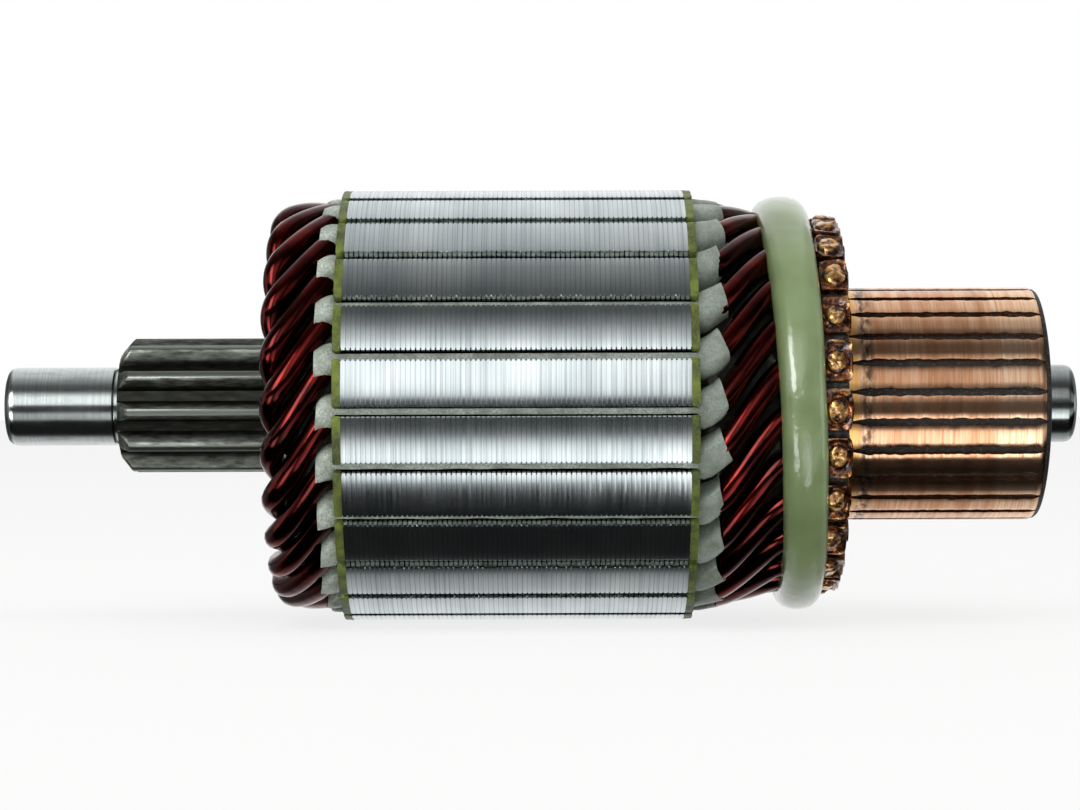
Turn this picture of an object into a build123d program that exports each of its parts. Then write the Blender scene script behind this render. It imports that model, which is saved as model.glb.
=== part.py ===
from build123d import *
import math
import os

# Motor armature of a geared starter motor: a shaft with a toothed sun pinion, a slotted laminated core,
# a wave winding of one hairpin a slot, and a moulded commutator whose risers hold the hairpin ends.
# All sizes are in millimetres. X runs along the shaft from the drive end to the commutator, and Z is up.
# The origin is on the shaft axis, at the middle of the drive-end journal.
# Angles are in degrees about the shaft, from the near side (low Y) downwards.

# Shaft
drive_journal_radius = 5.47
drive_journal_length = 15.2
commutator_journal_radius = 5.43
commutator_journal_length = 5.5
journal_chamfer = 0.9
relief_radius = 4.9
relief_width = 0.8
seat_radius = 8.0
seat_flats = 10

# Sun pinion, cut in the shaft
pinion_teeth = 11
pinion_tip_radius = 9.5
pinion_root_radius = 7.4
pinion_base_radius = 7.45
pinion_tip_land = 1.0
pinion_tooth_length = 21.0
pinion_tooth_chamfer = 1.7
pinion_first_tooth = 5.4
flank_steps = 2
collar_radius = 8.9

# Laminated core
slot_count = 25
first_slot = 1.6
core_radius = 30.0
core_length = 45.8
core_setback = 48.4
slot_opening = 1.2
slot_lip = 1.2

# Conductors and the paper round them
conductor_radius = 1.6
conductor_clearance = 0.05
layer_gap = 0.4
liner_thickness = 0.2
liner_clearance = 0.05
liner_overrun = 0.25
drive_cuff_length = 2.5
commutator_cuff_length = 3.5

# Insulator discs on the two faces of the core
insulator_thickness = 1.1
insulator_slot_width = 4.5
insulator_slot_depth_margin = 0.2
insulator_slot_opening = 2.0
insulator_lip = 1.05

# Winding
coil_span = 4
riser_lead = 2
bend_setback = 0.4
winding_gap = 0.33
crown_shoulder = 1.5
crown_shoulder_angle = 7.5
crown_half_angle = 3.5
crown_dip = 0.7
conductor_sides = 6

# Commutator
track_radius = 16.27
track_length = 27.2
riser_thickness = 3.8
riser_setback = 21.4
riser_wall = 0.3
riser_layer_gap = 0.2
riser_rim = 0.37
riser_bend_gap = 0.7
conductor_end_inset = 0.2
mica_thickness = 0.85
mica_undercut = 0.75
bar_neck_radius = 12.8
bar_foot_radius = 11.2
bar_neck_width = 1.3
bar_foot_width = 1.9
weld_width = 2.4
weld_height = 0.6
end_ring_thickness = 0.7

# Resin band round the winding, a little askew
band_width = 6.6
band_wall = 1.84
band_bevel = 1.3
band_flats = 28
band_tilt = -2.6
band_setback = 3.2
band_clearance = 0.12

# How far a cut runs past what it cuts, and how near an edge lies to the rim it belongs to
cut_margin = 1.0
fit_margin = 0.01

# Places along the shaft
drive_face = -drive_journal_length / 2
pinion_start = drive_face + drive_journal_length + relief_width
pinion_end = pinion_start + pinion_tooth_length
core_start = drive_face + core_setback
core_end = core_start + core_length
drive_insulator_face = core_start - insulator_thickness
commutator_insulator_face = core_end + insulator_thickness
riser_face = core_end + riser_setback
riser_back = riser_face - riser_thickness
copper_end = riser_face + track_length
resin_end = copper_end + end_ring_thickness
shaft_end = resin_end + commutator_journal_length

# Slots and what fills them, from the lip inwards
slot_pitch = 360 / slot_count
bore_half_width = conductor_radius + conductor_clearance
liner_half_width = bore_half_width + liner_thickness
slot_half_width = liner_half_width + liner_clearance
slot_top = core_radius - slot_lip
bore_top = slot_top - liner_clearance - liner_thickness
upper_layer_radius = bore_top - bore_half_width
lower_layer_radius = upper_layer_radius - 2 * bore_half_width - layer_gap
bore_bottom = lower_layer_radius - bore_half_width
slot_bottom = bore_bottom - liner_thickness - liner_clearance

# Risers, from where a bar is wide enough for a conductor between two walls outwards
half_pitch = math.radians(slot_pitch / 2)
mica_half_width = mica_thickness / (2 * math.cos(half_pitch))
fork_floor = (bore_half_width + riser_wall + mica_half_width) / math.tan(half_pitch)
riser_lower_radius = fork_floor + bore_half_width
riser_upper_radius = riser_lower_radius + 2 * bore_half_width + riser_layer_gap
fork_roof = riser_upper_radius + bore_half_width
riser_radius = fork_roof + riser_rim

# Drive-end winding, where the legs lean as far as lets neighbours of the lower layer pass
leg_pitch = 2 * math.pi * lower_layer_radius / slot_count
leg_spacing = 2 * conductor_radius + winding_gap
leg_arc = lower_layer_radius * math.radians(coil_span * slot_pitch / 2 - crown_shoulder_angle)
leg_reach = leg_arc * leg_spacing / math.sqrt(leg_pitch ** 2 - leg_spacing ** 2)
shoulder_place = drive_insulator_face - bend_setback - leg_reach
crown_place = shoulder_place - crown_shoulder


def slot_angle(number):
    """Angle of a slot, or of the commutator bar in line with it."""
    return first_slot + number * slot_pitch


def point(x, radius, angle):
    """Point at a place along the shaft, a radius and an angle."""
    turn = math.radians(angle)
    return Vector(x, -radius * math.cos(turn), -radius * math.sin(turn))


def across(x, angle=0.0):
    """Plane square to the shaft, whose own X points outwards at the angle."""
    return Plane(origin=(x, 0, 0), x_dir=point(0, 1, angle), z_dir=(1, 0, 0))


def strip(inner, outer, half_width):
    """Flat strip that runs outwards from one radius to another."""
    corners = [(inner, -half_width), (outer, -half_width), (outer, half_width), (inner, half_width)]
    return Polygon(*corners, align=None)


def run_along(section, start, end, angle=0.0):
    """Extrude a section along the shaft."""
    return extrude(across(start, angle) * section, amount=end - start)


def round_the_shaft(section):
    """Repeat a flat section once for each slot."""
    return [Rot(0, 0, slot_angle(number)) * section for number in range(slot_count)]


def flat_sided(radius, flats=slot_count):
    """Outline of flats that touch a circle, by default with one flat midway between each two slots."""
    return RegularPolygon(radius, flats, major_radius=False, rotation=first_slot)


def turned(profile):
    """Turn an outline of (place along the shaft, radius) points about the shaft."""
    return revolve(Plane.XZ * Polygon(*profile, align=None), Axis.X)


def involute(radius):
    """Involute of the pressure angle at a radius of the pinion."""
    pressure_angle = math.acos(min(1.0, pinion_base_radius / radius))
    return math.tan(pressure_angle) - pressure_angle


def tooth_half_angle(radius):
    """Half the angle that a pinion tooth fills at a radius."""
    at_tip = pinion_tip_land / (2 * pinion_tip_radius)
    return at_tip + involute(pinion_tip_radius) - involute(max(radius, pinion_base_radius))


def tooth_angle(tooth):
    """Angle of a pinion tooth."""
    return pinion_first_tooth + tooth * 360 / pinion_teeth


def make_tooth_chamfer(tooth):
    """Wedge that a chamfer takes off the front end of a tooth."""
    along_tooth = Plane(
        origin=(pinion_start, 0, 0), x_dir=(1, 0, 0), z_dir=point(0, 1, tooth_angle(tooth) + 90)
    )
    top = pinion_tip_radius + cut_margin
    slope = (pinion_tip_radius - pinion_root_radius) / pinion_tooth_chamfer
    reach = (top - pinion_root_radius) / slope
    outline = Polygon((0, pinion_root_radius), (reach, top), (0, top), align=None)
    return extrude(along_tooth * outline, amount=pinion_root_radius / 2, both=True)


def make_pinion():
    """Toothed length with involute flanks, chamfered at its front end."""
    rise = pinion_tip_radius - pinion_root_radius
    radii = [pinion_root_radius + rise * step / flank_steps for step in range(flank_steps + 1)]
    outline = []
    for tooth in range(pinion_teeth):
        middle = math.radians(tooth_angle(tooth))
        flank = [(radius, tooth_half_angle(radius)) for radius in radii]
        outline += [(r * math.cos(middle - a), r * math.sin(middle - a)) for r, a in flank]
        outline += [(r * math.cos(middle + a), r * math.sin(middle + a)) for r, a in reversed(flank)]
    pinion = run_along(Polygon(*outline, align=None), pinion_start, pinion_end)
    return pinion - [make_tooth_chamfer(tooth) for tooth in range(pinion_teeth)]


def make_shaft():
    """Journals, relief, pinion, collar and press seat, turned and hobbed from one bar."""
    body = turned([
        (drive_face, 0),
        (drive_face, drive_journal_radius - journal_chamfer),
        (drive_face + journal_chamfer, drive_journal_radius),
        (pinion_start - relief_width, drive_journal_radius),
        (pinion_start - relief_width, relief_radius),
        (pinion_start, relief_radius),
        (pinion_end, relief_radius),
        (pinion_end, collar_radius),
        (drive_insulator_face, collar_radius),
        (drive_insulator_face, seat_radius),
        (resin_end, seat_radius),
        (resin_end, commutator_journal_radius),
        (shaft_end - journal_chamfer, commutator_journal_radius),
        (shaft_end, commutator_journal_radius - journal_chamfer),
        (shaft_end, 0),
    ])
    return body + make_pinion()


def make_core():
    """Stack of laminations with semi-closed slots, pressed on the shaft."""
    body_of_slot = strip(slot_bottom, slot_top, slot_half_width)
    mouth = strip(slot_bottom + slot_half_width, core_radius + cut_margin, slot_opening / 2)
    section = Circle(core_radius) - flat_sided(seat_radius, seat_flats)
    section -= round_the_shaft(body_of_slot + mouth)
    return run_along(section, core_start, core_end)


def make_insulator(start):
    """Disc with wider slots than the core, so that the conductors can lean as they leave, under pointed lips."""
    # Each notch narrows on past the rim to half its opening there, which clears the corners of the flat sides
    slope = (insulator_slot_width - insulator_slot_opening) / (2 * insulator_lip)
    notch = mirrored([
        (core_radius + insulator_slot_opening / (4 * slope), insulator_slot_opening / 4),
        (core_radius - insulator_lip, insulator_slot_width / 2),
        (slot_bottom - insulator_slot_depth_margin, insulator_slot_width / 2),
    ])
    section = flat_sided(core_radius) - flat_sided(seat_radius, seat_flats)
    section -= round_the_shaft(notch)
    return run_along(section, start, start + insulator_thickness)


def make_liner(angle):
    """Folded slot paper: two side walls under a top wall that runs on past the core as a cuff at each end."""
    start = core_start - liner_overrun
    end = core_end + liner_overrun
    drive_tip = drive_insulator_face - drive_cuff_length
    commutator_tip = commutator_insulator_face + commutator_cuff_length
    walls = strip(bore_bottom, bore_top, liner_half_width) - strip(bore_bottom, bore_top, bore_half_width)
    top = strip(bore_top, bore_top + liner_thickness, liner_half_width)
    return run_along(walls, start, end, angle) + run_along(top, drive_tip, commutator_tip, angle)


def hairpin_route(number):
    """Centre line of a hairpin, from its riser at the upper layer to its riser at the lower layer."""
    upper = slot_angle(number)
    lower = slot_angle(number + coil_span)
    upper_bar = slot_angle(number - riser_lead)
    lower_bar = slot_angle(number + coil_span + riser_lead)
    crown = (upper + lower) / 2
    end_place = riser_face - conductor_end_inset
    riser_bend = riser_back - riser_bend_gap
    drive_bend = drive_insulator_face - bend_setback
    commutator_bend = commutator_insulator_face + bend_setback
    middle = tuple((a + b) / 2 for a, b in zip(
        (riser_bend, riser_upper_radius, upper_bar), (commutator_bend, upper_layer_radius, upper)
    ))
    places = [
        (end_place, riser_upper_radius, upper_bar),
        (riser_bend, riser_upper_radius, upper_bar),
        middle,
        (commutator_bend, upper_layer_radius, upper),
        (drive_bend, upper_layer_radius, upper),
        (shoulder_place, upper_layer_radius, crown - crown_shoulder_angle),
        (crown_place, upper_layer_radius - crown_dip, crown - crown_half_angle),
        (crown_place, lower_layer_radius + crown_dip, crown + crown_half_angle),
        (shoulder_place, lower_layer_radius, crown + crown_shoulder_angle),
        (drive_bend, lower_layer_radius, lower),
        (commutator_bend, lower_layer_radius, lower),
        (riser_bend, riser_lower_radius, lower_bar),
        (end_place, riser_lower_radius, lower_bar),
    ]
    return [point(*place) for place in places]


def make_hairpin(number):
    """One enamelled copper conductor, bent to a hairpin and mitred at each bend."""
    corners = hairpin_route(number)
    start = Plane(origin=corners[0], z_dir=corners[1] - corners[0])
    section = start * RegularPolygon(conductor_radius, conductor_sides)
    return sweep(section, path=Polyline(*corners), transition=Transition.RIGHT)


def wedge_half_width(radius):
    """Half the width of a commutator bar at a radius, between two sheets of mica."""
    return radius * math.tan(half_pitch) - mica_half_width


def mirrored(half):
    """Closed outline from the half that lies on one side of a bar's middle."""
    return Polygon(*half, *[(radius, -width) for radius, width in reversed(half)], align=None)


def bar_foot():
    """Half outline of a bar below the brush track, narrowed to a neck over its dovetail foot."""
    return [
        (track_radius, wedge_half_width(track_radius)),
        (bar_neck_radius, bar_neck_width / 2),
        (bar_foot_radius, bar_foot_width / 2),
    ]


def bar_blank():
    """Bar before its track is turned, which is also the room that it takes in the resin."""
    over = track_radius + cut_margin
    return mirrored([(over, wedge_half_width(over))] + bar_foot())


def make_bar(number):
    """Commutator bar: brush track on a dovetail foot, and a riser forked for two conductors and welded shut."""
    angle = slot_angle(number)
    riser = mirrored([
        (riser_radius + weld_height, weld_width / 2),
        (riser_radius, wedge_half_width(riser_radius)),
    ] + bar_foot())
    riser -= strip(fork_floor, fork_roof, bore_half_width)
    track = bar_blank() & Circle(track_radius)
    return run_along(track, riser_back, copper_end, angle) + run_along(riser, riser_back, riser_face, angle)


def make_hub():
    """Resin moulded round the feet of the bars, with a fin in each gap and a closing ring at its outer end."""
    blank = flat_sided(track_radius - mica_undercut) - flat_sided(seat_radius, seat_flats)
    finned = blank - round_the_shaft(bar_blank())
    return run_along(finned, riser_back, copper_end) + run_along(blank, copper_end, resin_end)


def make_band():
    """Crowned resin band that holds the winding in beside the risers."""
    half = band_width / 2
    middle = riser_face - band_setback - half
    bend_place = riser_back - riser_bend_gap
    leg_start = commutator_insulator_face + bend_setback
    taper = (upper_layer_radius - riser_upper_radius) / (bend_place - leg_start)
    winding_radius = riser_upper_radius + conductor_radius + taper * (bend_place - middle + half)
    tilt_room = (half + taper * winding_radius) * abs(math.sin(math.radians(band_tilt)))
    bore = winding_radius + tilt_room + band_clearance
    blank = flat_sided(bore + band_wall, band_flats)
    ring = run_along(blank, -half, half)
    rims = ring.edges().filter_by(lambda edge: abs(edge.center().X) > half - fit_margin)
    ring = chamfer(rims, band_bevel) - run_along(flat_sided(bore, band_flats), -half, half)
    return Pos(middle, 0, 0) * Rot(0, band_tilt, 0) * ring


def save(node, shape):
    """Write one sub-part to its own file."""
    export_step(shape, f"parts/{node}.step")


os.makedirs("parts", exist_ok=True)
save("shaft", make_shaft())
save("lamination_stack", make_core())
save("drive_end_insulator", make_insulator(drive_insulator_face))
save("commutator_end_insulator", make_insulator(core_end))
save("slot_liners", Compound(children=[make_liner(slot_angle(number)) for number in range(slot_count)]))
save("commutator_hub", make_hub())
save("banding_ring", make_band())
for number in range(slot_count):
    save(f"hairpin_{number + 1:02d}", make_hairpin(number))
    save(f"commutator_bar_{number + 1:02d}", make_bar(number))
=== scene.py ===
import math
import random

import bmesh
import bpy
from mathutils import Matrix, Vector, noise


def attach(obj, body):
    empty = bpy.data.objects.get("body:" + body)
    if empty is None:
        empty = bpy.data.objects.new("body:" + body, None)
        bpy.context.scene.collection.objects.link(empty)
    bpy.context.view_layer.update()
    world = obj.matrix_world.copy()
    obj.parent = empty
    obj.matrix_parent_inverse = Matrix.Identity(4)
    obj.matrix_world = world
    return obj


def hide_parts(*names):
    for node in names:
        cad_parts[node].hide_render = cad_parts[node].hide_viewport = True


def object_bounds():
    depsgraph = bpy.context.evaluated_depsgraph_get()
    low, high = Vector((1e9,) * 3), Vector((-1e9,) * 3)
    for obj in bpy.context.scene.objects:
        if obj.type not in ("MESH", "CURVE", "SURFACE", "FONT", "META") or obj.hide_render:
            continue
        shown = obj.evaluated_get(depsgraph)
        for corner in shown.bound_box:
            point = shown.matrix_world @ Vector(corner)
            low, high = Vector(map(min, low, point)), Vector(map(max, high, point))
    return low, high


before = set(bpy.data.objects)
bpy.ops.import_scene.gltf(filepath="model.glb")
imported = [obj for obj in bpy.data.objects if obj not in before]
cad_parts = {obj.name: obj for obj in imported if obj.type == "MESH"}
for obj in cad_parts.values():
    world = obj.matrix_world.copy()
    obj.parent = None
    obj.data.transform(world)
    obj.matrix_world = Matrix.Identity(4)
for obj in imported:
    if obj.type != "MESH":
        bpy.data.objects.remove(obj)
cad_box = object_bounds()

# Sizes are in millimetres, angles in degrees about the shaft from the near side (low Y) downwards.
MM = 0.001
SLOTS = 25
PITCH = 360 / SLOTS
FIRST_SLOT = 1.6

# Core, with its sheets, the discs on its faces and its slots
CORE_START, CORE_END, CORE_RADIUS = 40.8, 86.6, 30.0
SHEETS = 70
SHEET = (CORE_END - CORE_START) / SHEETS
DISC = 1.1
SLOT_HALF, SLOT_FLOOR, SLOT_ROOF, MOUTH_HALF = 1.9, 21.3, 28.8, 0.62

# Winding: the radius of its two layers, the slots from one leg of a coil to the other, and its wire
UPPER_LAYER, LOWER_LAYER = 26.9, 23.2
COIL_SPAN, WIRE_RADIUS = 4, 1.62

# Commutator
TRACK_RADIUS, TRACK_END = 16.27, 135.2
RISER_BACK, RISER_FACE, RISER_RADIUS = 104.2, 108.0, 26.0
MICA = 0.85

# Shaft, with the radii that it is turned to and its sun pinion
SHAFT_START, SHAFT_END = -7.6, 141.4
DRIVE_JOURNAL, COMMUTATOR_JOURNAL, RELIEF, COLLAR, SEAT = 5.47, 5.43, 4.9, 8.9, 8.0
PINION_TEETH, PINION_START, PINION_END = 11, 8.4, 29.9
PINION_ROOT, PINION_TIP = 7.35, 9.5

drawn = random.Random(25)


# Places and small helpers

def place(x, radius, angle):
    """Point at a place along the shaft, a radius and an angle."""
    turn = math.radians(angle)
    return Vector((x, -radius * math.cos(turn), -radius * math.sin(turn))) * MM


def slot_angle(number):
    """Angle of a slot, and of the commutator bar in line with it."""
    return FIRST_SLOT + number * PITCH


def onto_shaft(angle):
    """Turn a shape made over the shaft, with its outside up, round to its own angle."""
    return Matrix.Rotation(math.radians(90 + angle), 4, "X")


def roughly(amount):
    """Small random difference from one copy to the next."""
    return drawn.uniform(-amount, amount)


def wander(point, grain, seed):
    """Smooth noise with a grain in millimetres, from -1 to 1."""
    return noise.noise(point / (grain * MM) + Vector((seed, 2.3 * seed, 5.1 * seed)))


def turn_profile(bm, profile, steps):
    """Spin an open outline of (place along the shaft, radius) points round the shaft."""
    corners = [bm.verts.new(place(x, radius, 0)) for x, radius in profile]
    edges = [bm.edges.new(pair) for pair in zip(corners, corners[1:])]
    bmesh.ops.spin(bm, geom=corners + edges, cent=(0, 0, 0), axis=(1, 0, 0),
                   angle=math.tau, steps=steps, use_merge=True)
    bmesh.ops.remove_doubles(bm, verts=bm.verts, dist=1e-7)


def edge_ring(edges):
    """Corners of a closed ring of edges, in order."""
    members = set(edges)
    ring, came = [edges[0].verts[0]], edges[0]
    here = came.verts[1]
    while here is not ring[0]:
        ring.append(here)
        came = next(e for e in here.link_edges if e in members and e is not came)
        here = came.other_vert(here)
    return ring


def sweep(bm, outline, stations, where, caps=True):
    """Extrude a closed outline through stations, where where(corner, station) gives each corner's point."""
    number = bm.verts.layers.int.get("number") or bm.verts.layers.int.new("number")
    ring = []
    for count, corner in enumerate(outline):
        made = bm.verts.new(where(corner, stations[0]))
        made[number] = count
        ring.append(made)
    first = bm.faces.new(ring)
    edges = list(first.edges)
    for station in stations[1:]:
        grown = bmesh.ops.extrude_edge_only(bm, edges=edges)["geom"]
        edges = [g for g in grown if isinstance(g, bmesh.types.BMEdge) and g.is_boundary]
        for made in (g for g in grown if isinstance(g, bmesh.types.BMVert)):
            made.co = where(outline[made[number]], station)
    if caps:
        bm.faces.new(edge_ring(edges))
    else:
        bm.faces.remove(first)


def finish_piece(name, bm, nodes, finishes, sharp=35):
    """Make a piece from its bmesh, shade it, give it its finishes and hang it on the part."""
    bmesh.ops.recalc_face_normals(bm, faces=bm.faces)
    mesh = bpy.data.meshes.new(name)
    bm.to_mesh(mesh)
    bm.free()
    for finish in finishes:
        mesh.materials.append(finish)
    mesh.shade_smooth()
    mesh.set_sharp_from_angle(angle=math.radians(sharp))
    piece = bpy.data.objects.new(name, mesh)
    bpy.context.scene.collection.objects.link(piece)
    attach(piece, "root")
    if nodes:
        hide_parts(*nodes)


# Materials

def linear(code):
    """Linear colour of an sRGB hex code."""
    values = [int(code[i:i + 2], 16) / 255 for i in (1, 3, 5)]
    return tuple(v / 12.92 if v <= 0.04045 else ((v + 0.055) / 1.055) ** 2.4 for v in values) + (1.0,)


def feed(tree, node, **inputs):
    """Set a node's inputs, called by name or by number, to values or link them to other nodes' outputs."""
    for name, value in inputs.items():
        socket = node.inputs[int(name[1:]) if name[1:].isdigit() else name.replace("_", " ")]
        if isinstance(value, bpy.types.NodeSocket):
            tree.links.new(value, socket)
        else:
            socket.default_value = value


def add(tree, kind, settings=(), stops=(), **inputs):
    """Add a shader node with its settings, the (place, hex colour) stops of its ramp and its inputs."""
    node = tree.nodes.new("ShaderNode" + kind)
    for name, value in dict(settings).items():
        setattr(node, name, value)
    for count, (at, code) in enumerate(stops):
        ramp = node.color_ramp.elements
        element = ramp[count] if count < len(ramp) else ramp.new(at)
        element.position, element.color = at, linear(code)
    feed(tree, node, **inputs)
    return node


def new_material(name, **constants):
    """Material whose principled shader has its constants set, with the coordinates of the piece it is on."""
    material = bpy.data.materials.new(name)
    material.use_nodes = True
    tree = material.node_tree
    shader = tree.nodes["Principled BSDF"]
    feed(tree, shader, **constants)
    return material, tree, shader, add(tree, "TexCoord").outputs["Object"]


def grain(tree, spot, sizes, detail=3.0, roughness=0.55):
    """Pattern of a real size: noise with its grain in millimetres along each axis, mostly from 0.3 to 0.7."""
    scaled = add(tree, "Mapping", Vector=spot, Scale=[1 / (size * MM) for size in sizes]).outputs[0]
    return add(tree, "TexNoise", Vector=scaled, Scale=1.0, Detail=detail, Roughness=roughness).outputs[0]


def from_axis(tree, spot):
    """Distance from the shaft's axis, in metres."""
    split = add(tree, "SeparateXYZ", Vector=spot).outputs
    outwards = add(tree, "CombineXYZ", Y=split["Y"], Z=split["Z"]).outputs[0]
    return add(tree, "VectorMath", {"operation": "LENGTH"}, i0=outwards).outputs["Value"]


def make_sheet_steel():
    """Edges of punched electrical steel, ground round: satin, and each sheet a shade lighter or darker."""
    material, tree, shader, spot = new_material("punched_sheet_steel", Metallic=1.0)
    # Streaks as wide as half a sheet run over the whole tooth
    sheet = grain(tree, spot, (0.4, 60, 60), 2.0)
    drift = grain(tree, spot, (8, 14, 14), 2.0)
    tone = add(tree, "ValToRGB", stops=[(0.3, "#c4c9c9"), (0.45, "#d3d8d7"), (0.7, "#dde1e0")],
               Fac=sheet).outputs[0]
    # Random drift in tone, with a cool blue cast that is painted reflection: it stands in for the bluish
    # light the steel shows where it looks dark
    shade = add(tree, "ValToRGB", stops=[(0.3, "#d9e0e4"), (0.7, "#fafdff")], Fac=drift).outputs[0]
    tinted = add(tree, "Mix", {"data_type": "RGBA", "blend_type": "MULTIPLY"},
                 i0=1.0, i6=tone, i7=shade).outputs[2]
    # The joints between the sheets, dark with oil, at their real spacing
    along = add(tree, "SeparateXYZ", Vector=spot).outputs["X"]
    along = add(tree, "Math", {"operation": "SUBTRACT"}, i0=along, i1=CORE_START * MM).outputs[0]
    joint = add(tree, "Math", {"operation": "PINGPONG"}, i0=along, i1=SHEET / 2 * MM).outputs[0]
    joint = add(tree, "MapRange", Value=joint, From_Min=0.02 * MM, From_Max=0.08 * MM,
                To_Min=0.3, To_Max=0.0).outputs[0]
    tinted = add(tree, "Mix", {"data_type": "RGBA"}, i0=joint, i6=tinted, i7=linear("#2c3133")).outputs[2]
    gloss = add(tree, "MapRange", Value=sheet, From_Min=0.3, From_Max=0.7, To_Min=0.2, To_Max=0.13).outputs[0]
    # Grinding marks, drawn wider than the real 0.02 mm so that they show
    marks = grain(tree, spot, (0.15, 6, 6))
    bump = add(tree, "Bump", Height=marks, Distance=0.0012 * MM).outputs[0]
    feed(tree, shader, Base_Color=tinted, Roughness=gloss, Normal=bump)
    return material


def make_ground_steel():
    """Ground bearing steel: bright and nearly mirror-smooth, with faint wheel rings and light stains."""
    material, tree, shader, spot = new_material("ground_bearing_steel", Metallic=1.0)
    rings = grain(tree, spot, (0.2, 30, 30))
    stain = grain(tree, spot, (4, 1.2, 1.2), 4.0)
    along = add(tree, "SeparateXYZ", Vector=spot).outputs["X"]
    bright = add(tree, "ValToRGB", stops=[(0.3, "#b9c1c0"), (0.7, "#cfd6d5")], Fac=rings).outputs[0]
    # The journal at the commutator was blued by heat, the one at the drive end was not
    blued = add(tree, "MapRange", Value=along, From_Min=100 * MM, From_Max=120 * MM,
                To_Min=0.0, To_Max=0.42).outputs[0]
    tone = add(tree, "Mix", {"data_type": "RGBA"}, i0=blued, i6=bright, i7=linear("#4e5654")).outputs[2]
    patch = add(tree, "MapRange", Value=stain, From_Min=0.5, From_Max=0.75, To_Min=0.0, To_Max=0.3).outputs[0]
    tone = add(tree, "Mix", {"data_type": "RGBA"}, i0=patch, i6=tone, i7=linear("#5d6360")).outputs[2]
    gloss = add(tree, "MapRange", Value=stain, From_Min=0.3, From_Max=0.7, To_Min=0.11, To_Max=0.2).outputs[0]
    # The wheel didn't reach the rounded end, which stayed dull from turning; its darker tone is painted shade
    turned = add(tree, "MapRange", Value=along, From_Min=(SHAFT_START + 0.5) * MM,
                 From_Max=(SHAFT_START + 0.9) * MM, To_Min=1.0, To_Max=0.0).outputs[0]
    tone = add(tree, "Mix", {"data_type": "RGBA"}, i0=turned, i6=tone, i7=linear("#585d5b")).outputs[2]
    gloss = add(tree, "Mix", i0=turned, i2=gloss, i3=0.42).outputs[0]
    bump = add(tree, "Bump", Height=rings, Distance=0.0015 * MM).outputs[0]
    feed(tree, shader, Base_Color=tone, Roughness=gloss, Normal=bump)
    return material


def make_hobbed_steel():
    """Hobbed and hardened gear steel: dark, with worn tooth tips and cutter lines, and darker towards the
    roots.
    """
    material, tree, shader, spot = new_material("hobbed_gear_steel", Metallic=1.0)
    radius = from_axis(tree, spot)
    stain = grain(tree, spot, (2.5, 0.6, 0.6), 5.0)
    dull = add(tree, "ValToRGB", stops=[(0.3, "#42453f"), (0.55, "#757972"), (0.75, "#9a9f98")],
               Fac=stain).outputs[0]
    # Darker towards the roots of the teeth
    deep = add(tree, "MapRange", Value=radius, From_Min=7.5 * MM, From_Max=8.7 * MM,
               To_Min=0.9, To_Max=0.0).outputs[0]
    tone = add(tree, "Mix", {"data_type": "RGBA"}, i0=deep, i6=dull, i7=linear("#13130f")).outputs[2]
    worn = add(tree, "MapRange", Value=radius, From_Min=(PINION_TIP - 0.12) * MM,
               From_Max=(PINION_TIP - 0.03) * MM).outputs[0]
    tone = add(tree, "Mix", {"data_type": "RGBA"}, i0=worn, i6=tone, i7=linear("#7c817b")).outputs[2]
    lines = grain(tree, spot, (0.25, 8, 8))
    gloss = add(tree, "MapRange", Value=lines, From_Min=0.3, From_Max=0.7,
                To_Min=0.34, To_Max=0.46).outputs[0]
    bump = add(tree, "Bump", Height=lines, Distance=0.012 * MM).outputs[0]
    feed(tree, shader, Base_Color=tone, Roughness=gloss, Normal=bump)
    return material


def make_insulating_card():
    """Pressed insulating card under green varnish: rough olive edge with darker soaked patches."""
    material, tree, shader, spot = new_material("varnished_card", Roughness=0.5, IOR=1.5, Coat_Weight=0.15,
                                                Coat_Roughness=0.3)
    patches = grain(tree, spot, (2.2, 2.2, 2.2), 5.0)
    fibre = grain(tree, spot, (0.25, 0.25, 0.25))
    soaked = add(tree, "ValToRGB", stops=[(0.3, "#262f0a"), (0.5, "#4a5714"), (0.68, "#6f7e1e")],
                 Fac=patches).outputs[0]
    dry = add(tree, "MapRange", Value=fibre, From_Min=0.45, From_Max=0.7, To_Min=0.0, To_Max=0.4).outputs[0]
    tone = add(tree, "Mix", {"data_type": "RGBA"}, i0=dry, i6=soaked, i7=linear("#838f34")).outputs[2]
    bump = add(tree, "Bump", Height=fibre, Distance=0.12 * MM).outputs[0]
    feed(tree, shader, Base_Color=tone, Normal=bump)
    return material


def make_slot_paper():
    """Fibrous slot paper soaked in clear varnish: pale grey-green, speckled, with a soft sheen."""
    material, tree, shader, spot = new_material("slot_paper", Roughness=0.55, IOR=1.5, Coat_Weight=0.4,
                                                Coat_Roughness=0.22)
    speckle = grain(tree, spot, (0.3, 0.3, 0.3), 3.0, 0.7)
    soak = grain(tree, spot, (2.4, 2.4, 2.4))
    along = add(tree, "SeparateXYZ", Vector=spot).outputs["X"]
    paper = add(tree, "ValToRGB", stops=[(0.34, "#8b968c"), (0.5, "#b5bfb3"), (0.64, "#d3dbcf")],
                Fac=speckle).outputs[0]
    # The paper at the commutator's end is painted greyer: painted shade under the leaning wires there
    painted_shade_at_commutator_end = add(tree, "MapRange", Value=along, From_Min=(CORE_END - 0.6) * MM,
                 From_Max=(CORE_END + 1.4) * MM, To_Min=0.0, To_Max=0.62).outputs[0]
    paper = add(tree, "Mix", {"data_type": "RGBA"}, i0=painted_shade_at_commutator_end, i6=paper, i7=linear("#6f7a73")).outputs[2]
    wet = add(tree, "MapRange", Value=soak, From_Min=0.42, From_Max=0.66, To_Min=0.0, To_Max=0.6).outputs[0]
    tone = add(tree, "Mix", {"data_type": "RGBA"}, i0=wet, i6=paper, i7=linear("#67705f")).outputs[2]
    bump = add(tree, "Bump", Height=speckle, Distance=0.05 * MM).outputs[0]
    feed(tree, shader, Base_Color=tone, Normal=bump)
    return material


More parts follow.
